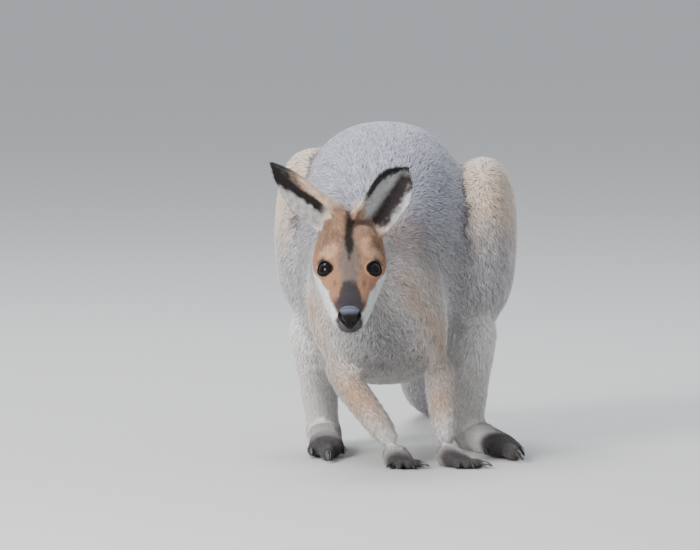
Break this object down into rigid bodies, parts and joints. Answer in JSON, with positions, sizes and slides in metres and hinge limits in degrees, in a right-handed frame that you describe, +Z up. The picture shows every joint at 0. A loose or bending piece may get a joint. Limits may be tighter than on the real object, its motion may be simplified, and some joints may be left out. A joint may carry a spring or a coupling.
{
  "type": "wallaby",
  "caption": "Life-size still model of a red-necked wallaby grazing on all fours, head low and looking ahead, ears spread, tail laid out behind.",
  "frame": {"origin": "point of the floor under the middle of the whole animal's bounding box, with the soles on the floor at Z 0", "axes": "+Z up, -Y the way the animal faces, +X its own left side"},
  "size_m": [0.2848, 1.1828, 0.3681],
  "materials": {
    "grey_fur": "dense grizzled blue-grey fur, light tips over dark underfur",
    "pale_fur": "soft whitish-grey fur with buff patches",
    "tawny_fur": "short tawny fur with a dark forehead stripe and white cheeks",
    "dark_fur": "very short blackish fur",
    "nose": "bare pebbled skin, damp and slightly glossy",
    "eye": "wet and glossy, blackish brown",
    "claw": "smooth dark horn"
  },
  "bodies": {
    "root": {"eye_left": "eye", "eye_right": "eye", "nose": "nose", "claw_hand_left_1": "claw", "claw_hand_left_2": "claw", "claw_hand_left_3": "claw", "claw_hand_left_4": "claw", "claw_hand_left_5": "claw", "claw_foot_left_2": "claw", "claw_foot_left_3": "claw", "claw_foot_left_4": "claw", "claw_foot_left_5": "claw", "claw_hand_right_1": "claw", "claw_hand_right_2": "claw", "claw_hand_right_3": "claw", "claw_hand_right_4": "claw", "claw_hand_right_5": "claw", "claw_foot_right_2": "claw", "claw_foot_right_3": "claw", "claw_foot_right_4": "claw", "claw_foot_right_5": "claw", "head": "tawny_fur", "ear_left": "tawny_fur", "ear_right": "tawny_fur", "hand_left": "dark_fur", "foot_left": "dark_fur", "forearm_left": "pale_fur", "upper_arm_left": "pale_fur", "thigh_left": "pale_fur", "shank_left": "pale_fur", "hand_right": "dark_fur", "foot_right": "dark_fur", "forearm_right": "pale_fur", "upper_arm_right": "pale_fur", "thigh_right": "pale_fur", "shank_right": "pale_fur", "neck": "grey_fur", "tail": "grey_fur", "trunk": "grey_fur"}
  },
  "joints": []
}
